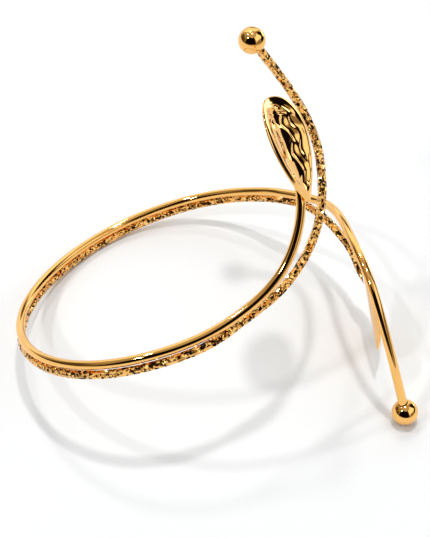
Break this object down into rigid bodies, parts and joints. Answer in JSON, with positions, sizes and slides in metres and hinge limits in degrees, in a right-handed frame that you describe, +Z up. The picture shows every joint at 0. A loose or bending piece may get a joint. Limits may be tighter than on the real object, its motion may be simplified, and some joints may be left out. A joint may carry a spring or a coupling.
{
  "type": "upper arm cuff",
  "caption": "Open upper arm cuff of a smooth and a faceted gold-coloured wire side by side, with hammered leaves and polished balls on the parted ends.",
  "frame": {"origin": "on the surface that the cuff rests on, under the middle of its bounding box", "axes": "+Z up as the cuff rests by itself on its far edge and its lower ball, X along its longest extent with the open side toward +X, Y across"},
  "size_m": [0.1056, 0.0802, 0.0828],
  "materials": {
    "polished_gold_wire": "high polish",
    "cut_gold_wire": "bright small cut facets",
    "hammered_gold_leaf": "bright, hammered in front, smooth rim and back",
    "polished_gold_ball": "mirror polish"
  },
  "bodies": {
    "root": {"smooth_wire": "polished_gold_wire", "textured_wire": "cut_gold_wire", "upper_leaf": "hammered_gold_leaf", "lower_leaf": "hammered_gold_leaf", "upper_ball": "polished_gold_ball", "lower_ball": "polished_gold_ball"}
  },
  "joints": []
}
